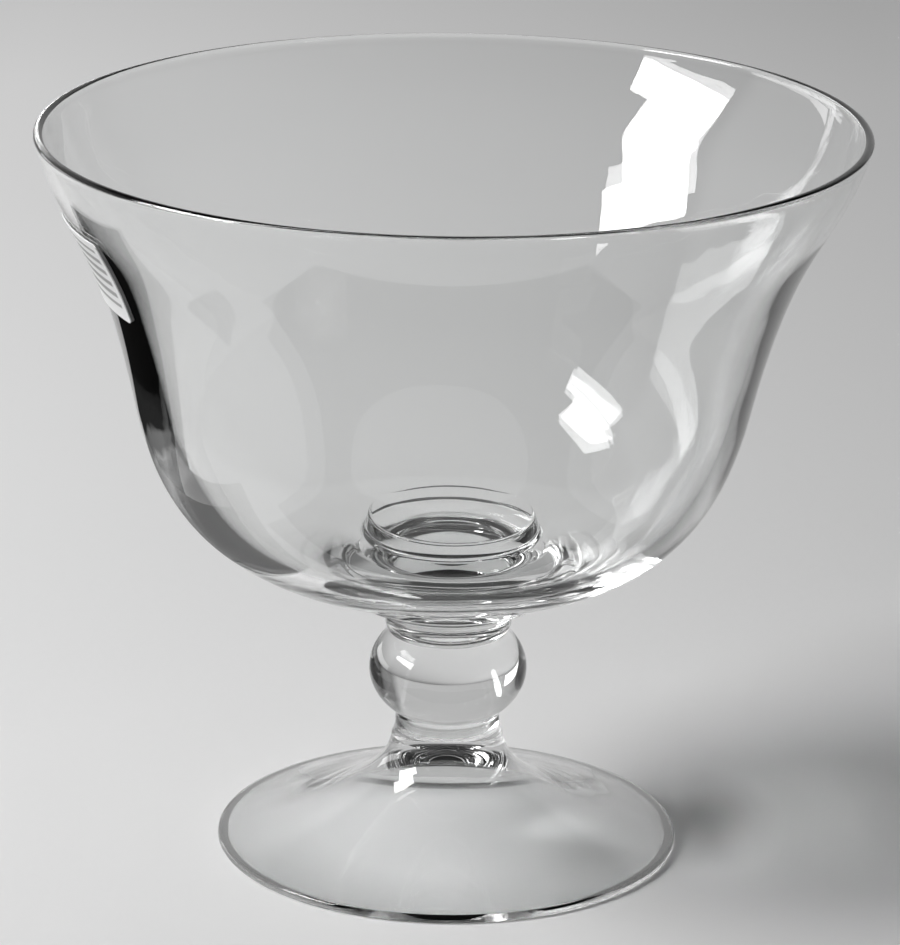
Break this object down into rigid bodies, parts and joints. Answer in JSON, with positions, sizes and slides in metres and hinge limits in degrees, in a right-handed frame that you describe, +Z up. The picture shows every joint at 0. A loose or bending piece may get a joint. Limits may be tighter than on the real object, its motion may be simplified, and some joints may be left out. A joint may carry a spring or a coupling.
{
  "type": "footed bowl",
  "caption": "Clear glass footed bowl with a flared rim, on a short stem with a ball knop and a spreading round foot, for serving or display.",
  "frame": {"origin": "centre of the circle that the foot stands on, on the table's surface", "axes": "+Z up along the axis of the bowl, stem and foot; the label is on the -X side, a little towards -Y"},
  "size_m": [0.23, 0.23, 0.209],
  "materials": {
    "clear_glass": "fire-polished clear",
    "label_paper": "white coated paper"
  },
  "bodies": {
    "root": {"bowl": "clear_glass", "floor_button": "clear_glass", "bowl_wafer": "clear_glass", "ball_knop": "clear_glass", "foot_wafer": "clear_glass", "foot": "clear_glass", "paper_label": "label_paper"}
  },
  "joints": []
}
